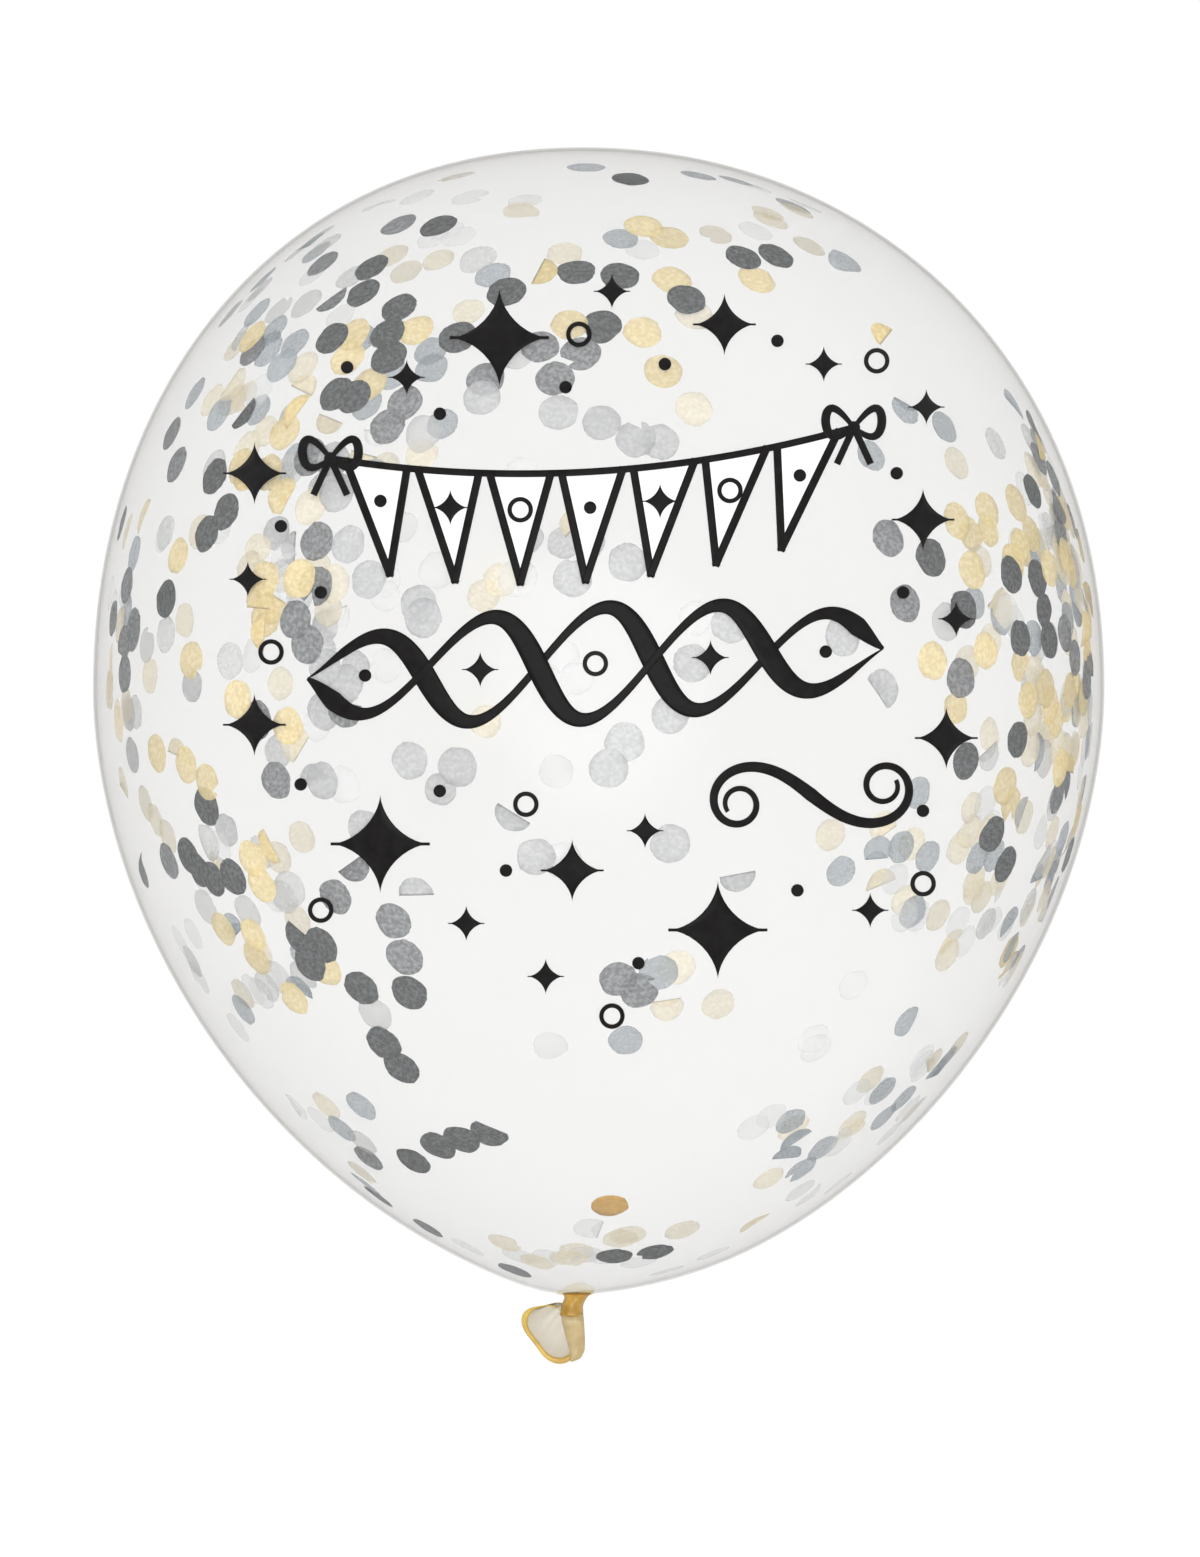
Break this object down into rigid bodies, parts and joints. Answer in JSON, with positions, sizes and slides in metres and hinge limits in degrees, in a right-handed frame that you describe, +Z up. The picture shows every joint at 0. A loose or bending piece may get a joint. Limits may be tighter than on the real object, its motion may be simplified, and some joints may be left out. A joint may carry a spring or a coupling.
{
  "type": "confetti balloon",
  "caption": "Inflated clear latex balloon with paper confetti sealed inside and a printed front, tied at the neck, lying on its back as a party decoration.",
  "frame": {"origin": "under the middle of the balloon's bounding box, on the surface that it lies on", "axes": "+Y runs along the long axis from the tied neck towards the crown, and +Z points up through the printed side"},
  "size_m": [0.3048, 0.3666, 0.3028],
  "materials": {
    "clear_latex": "thin clear latex stretched tight, glossy, greyer and warmer where it is seen edge on",
    "neck_latex": "unstretched natural latex, amber, satin, in soft folds",
    "ink_black": "opaque black screen-printing ink, satin",
    "ink_white": "milky white screen-printing ink",
    "tissue_black": "black tissue paper, matt, faintly mottled",
    "tissue_gold": "pale gold tissue paper, matt",
    "tissue_silver": "silver-grey tissue paper, thin and half see-through"
  },
  "bodies": {
    "root": {"latex_balloon": "clear_latex"}
  },
  "joints": []
}
